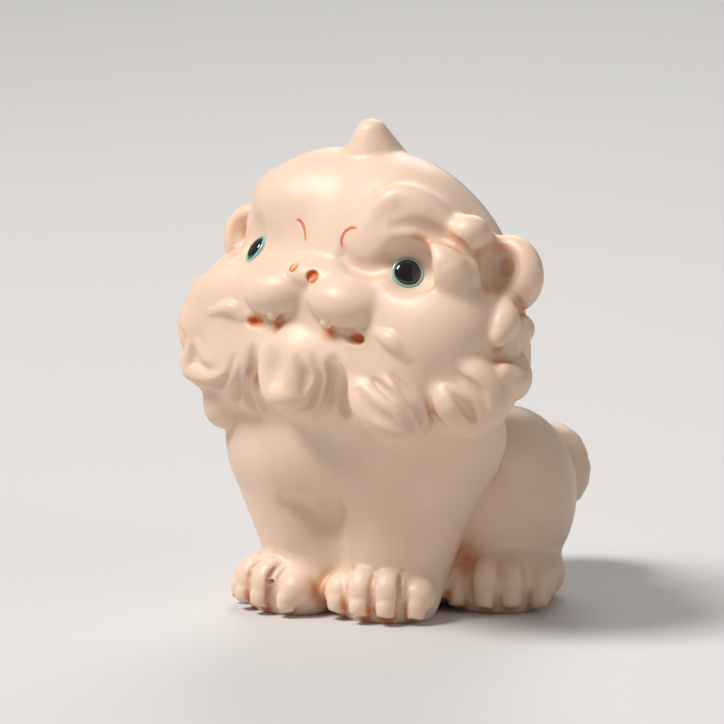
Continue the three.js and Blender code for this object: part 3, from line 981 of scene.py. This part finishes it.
class CUB_OT_carve_figure(Operator):
    """Carve the whole figure from blended masses"""

    bl_idname = "cub.carve_figure"
    bl_label = "Carve figure"

    def execute(self, context):
        piece = sculpt_cub(context.scene.cub_sizes)
        give_material(piece, resin_material(context.scene.cub_looks))
        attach(piece, "root")
        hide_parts("lion_body")
        return {"FINISHED"}


class CUB_OT_set_eyes(Operator):
    """Turn the eye rings and pupils and set them in the face"""

    bl_idname = "cub.set_eyes"
    bl_label = "Set eyes"

    def execute(self, context):
        sizes = context.scene.cub_sizes
        ring_finish = enamel_material(context.scene.cub_looks)
        pupil_finish = pupil_material()
        ring = ring_profile(sizes.ring_radius, sizes.pupil_radius)
        dome = dome_profile(sizes.pupil_radius)
        to_world = head_frame(sizes)
        for side, name in ((1, "left"), (-1, "right")):
            place = to_world @ Vector(eye_place(sizes, side))
            axis = to_world.to_3x3() @ EYE_FACING[side]
            for part, profile, finish, slot in (
                    ("ring", ring, ring_finish, "turquoise_enamel"),
                    ("pupil", dome, pupil_finish, "black_gloss")):
                piece = turned_piece(f"{name}_{part}_turned", profile, place, axis)
                give_material(piece, finish)
                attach(piece, "root")
                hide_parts(f"{name}_eye_{part}")
        return {"FINISHED"}


class CUB_OT_light_stage(Operator):
    """Lay the floor, hang the soft lights and place the camera"""

    bl_idname = "cub.light_stage"
    bl_label = "Light stage"

    def execute(self, context):
        lay_floor()
        for place, width, power, colour in SOFT_LIGHTS:
            hang_light(place, width, power, colour)
        fill_world(context.scene)
        context.scene.view_settings.view_transform = "Standard"
        place_camera(context.scene)
        return {"FINISHED"}


# Stage, in metres, the lens in millimetres: a light has a place, a width, its watts and a colour

LIGHT_AIM = Vector((0, -0.004, 0.024))
SOFT_LIGHTS = (
    ((-0.52, -0.58, 1.12), 0.45, 20, (1.0, 0.98, 0.96)),
    ((1.15, -0.10, 0.60), 0.70, 2.2, (1.0, 0.96, 0.92)),
    ((-0.40, 1.10, 0.80), 0.70, 5, (1.0, 0.98, 0.96)),
)
CAMERA_AZIMUTH = math.radians(28)
CAMERA_HEIGHT = math.radians(9)
CAMERA_DISTANCE = 0.42
CAMERA_AIM_ACROSS = -0.0045
CAMERA_AIM_UP = 0.0243
CAMERA_AIM_SHIFT = Vector((0.0015, 0, 0))
CAMERA_LENS = 205.1
CAMERA_SENSOR = 36
FLOOR_HALF = 1.5
WORLD_COLOUR = (0.95, 0.96, 1, 1)
WORLD_STRENGTH = 0.18


def lay_floor():
    bm = bmesh.new()
    bmesh.ops.create_grid(bm, x_segments=8, y_segments=8, size=FLOOR_HALF)
    floor = piece_from(bm, "pale_floor")
    give_material(floor, floor_material())


def hang_light(place, width, power, colour):
    light = bpy.data.lights.new("soft_light", "AREA")
    light.size = width
    light.energy = power
    light.color = colour
    lamp = bpy.data.objects.new("soft_light", light)
    lamp.location = place
    lamp.rotation_euler = (LIGHT_AIM - Vector(place)).to_track_quat("-Z", "Y").to_euler()
    bpy.context.scene.collection.objects.link(lamp)


def fill_world(scene):
    world = bpy.data.worlds.new("studio")
    world.use_nodes = True
    background = world.node_tree.nodes["Background"]
    background.inputs["Color"].default_value = WORLD_COLOUR
    background.inputs["Strength"].default_value = WORLD_STRENGTH
    scene.world = world


def place_camera(scene):
    """The photograph's view: a long lens, a little above the figure and to its left."""
    right = Vector((math.cos(CAMERA_AZIMUTH), math.sin(CAMERA_AZIMUTH), 0))
    level = Vector((-math.sin(CAMERA_AZIMUTH), math.cos(CAMERA_AZIMUTH), 0))
    forward = level * math.cos(CAMERA_HEIGHT) - Vector((0, 0, math.sin(CAMERA_HEIGHT)))
    up = right.cross(forward)
    aim = CAMERA_AIM_SHIFT + CAMERA_AIM_ACROSS * right + CAMERA_AIM_UP * up
    data = bpy.data.cameras.new("photo_view")
    data.lens = CAMERA_LENS
    data.sensor_width = CAMERA_SENSOR
    data.clip_start = 0.01
    data.clip_end = 10
    camera = bpy.data.objects.new("photo_view", data)
    turn = Matrix((right, up, -forward)).transposed().to_4x4()
    camera.matrix_world = Matrix.Translation(aim - CAMERA_DISTANCE * forward) @ turn
    scene.collection.objects.link(camera)
    scene.camera = camera


class CUB_PT_panel(Panel):
    """Lists the steps in order, with their sizes and colours"""

    bl_label = "Foo dog cub"
    bl_space_type = "VIEW_3D"
    bl_region_type = "UI"
    bl_category = "Cub"

    def draw(self, context):
        for group in (context.scene.cub_sizes, context.scene.cub_looks):
            box = self.layout.box()
            for name in group.__annotations__:
                box.prop(group, name)
        for step in STEPS:
            self.layout.operator(step.bl_idname)


STEPS = (CUB_OT_carve_figure, CUB_OT_set_eyes, CUB_OT_light_stage)
CLASSES = (CubSizes, CubLooks, *STEPS, CUB_PT_panel)


def register():
    for cls in CLASSES:
        bpy.utils.register_class(cls)
    bpy.types.Scene.cub_sizes = PointerProperty(type=CubSizes)
    bpy.types.Scene.cub_looks = PointerProperty(type=CubLooks)


def unregister():
    del bpy.types.Scene.cub_looks
    del bpy.types.Scene.cub_sizes
    for cls in reversed(CLASSES):
        bpy.utils.unregister_class(cls)


def main():
    register()
    bpy.ops.cub.carve_figure()
    bpy.ops.cub.set_eyes()
    bpy.ops.cub.light_stage()


if __name__ == "__main__":
    main()
